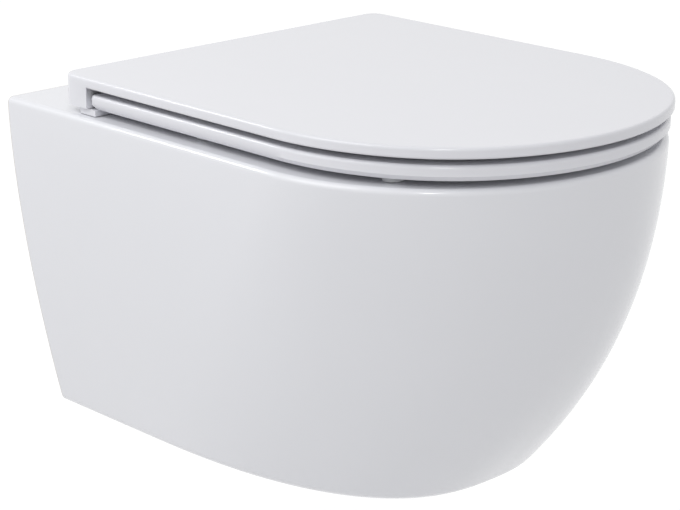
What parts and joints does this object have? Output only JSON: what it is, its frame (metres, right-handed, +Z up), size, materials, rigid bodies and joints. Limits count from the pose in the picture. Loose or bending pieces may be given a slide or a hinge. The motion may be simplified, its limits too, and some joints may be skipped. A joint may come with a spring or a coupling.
{
  "type": "wall hung toilet",
  "caption": "Compact wall hung ceramic toilet pan with a rimless bowl and a slim D shaped seat and lid on hinges.",
  "frame": {"origin": "on the wall face of the pan, midway between the two wall studs that carry it", "axes": "+Z up, +Y into the wall, the pan projects towards -Y, +X to the right seen from the front"},
  "size_m": [0.3598, 0.4918, 0.309],
  "materials": {
    "ceramic": "gloss white glaze",
    "seat_plastic": "gloss white duroplast",
    "buffer": "soft off-white elastomer",
    "rubber": "matt black",
    "grey_plastic": "moulded grey nylon",
    "chrome": "bright chrome plate",
    "steel": "brushed stainless",
    "zinc": "bright zinc plate",
    "brass": "turned brass"
  },
  "bodies": {
    "pan_body": {"pan": "ceramic", "stud_sleeves": "zinc", "sleeve_liners": "grey_plastic", "clamp_screws": "zinc", "hinge_screws": "zinc", "expansion_bushes": "rubber", "expansion_nuts": "brass", "hinge_post_left": "chrome", "hinge_post_right": "chrome", "base_plate_left": "steel", "base_plate_right": "steel", "hinge_pin_left": "steel", "hinge_pin_right": "steel"},
    "seat_body": {"seat": "seat_plastic", "seat_buffers": "buffer", "seat_damper": "grey_plastic", "seat_bearing": "grey_plastic"},
    "lid_body": {"lid": "seat_plastic", "lid_buffers": "buffer", "lid_bearing": "grey_plastic", "lid_damper": "grey_plastic"},
    "button_left": {"release_button_left": "grey_plastic"},
    "button_right": {"release_button_right": "grey_plastic"}
  },
  "joints": [
    {"name": "lid_hinge", "type": "hinge", "parent": "pan_body", "child": "lid_body", "pos_m": [0, -0.075, 0.0905], "axis": [-1, 0, 0], "range_deg": [0, 95]},
    {"name": "seat_hinge", "type": "hinge", "parent": "pan_body", "child": "seat_body", "pos_m": [0, -0.075, 0.0905], "axis": [-1, 0, 0], "range_deg": [0, 93.1]},
    {"name": "button_left_press", "type": "slide", "parent": "pan_body", "child": "button_left", "axis": [0, 1, 0], "range_m": [0, 0.002], "stiffness_N_per_m": 200},
    {"name": "button_right_press", "type": "slide", "parent": "pan_body", "child": "button_right", "axis": [0, 1, 0], "range_m": [0, 0.002], "stiffness_N_per_m": 200}
  ],
  "couplings": [
    {"joint": "seat_hinge", "follows": "lid_hinge", "ratio": 0.98}
  ]
}
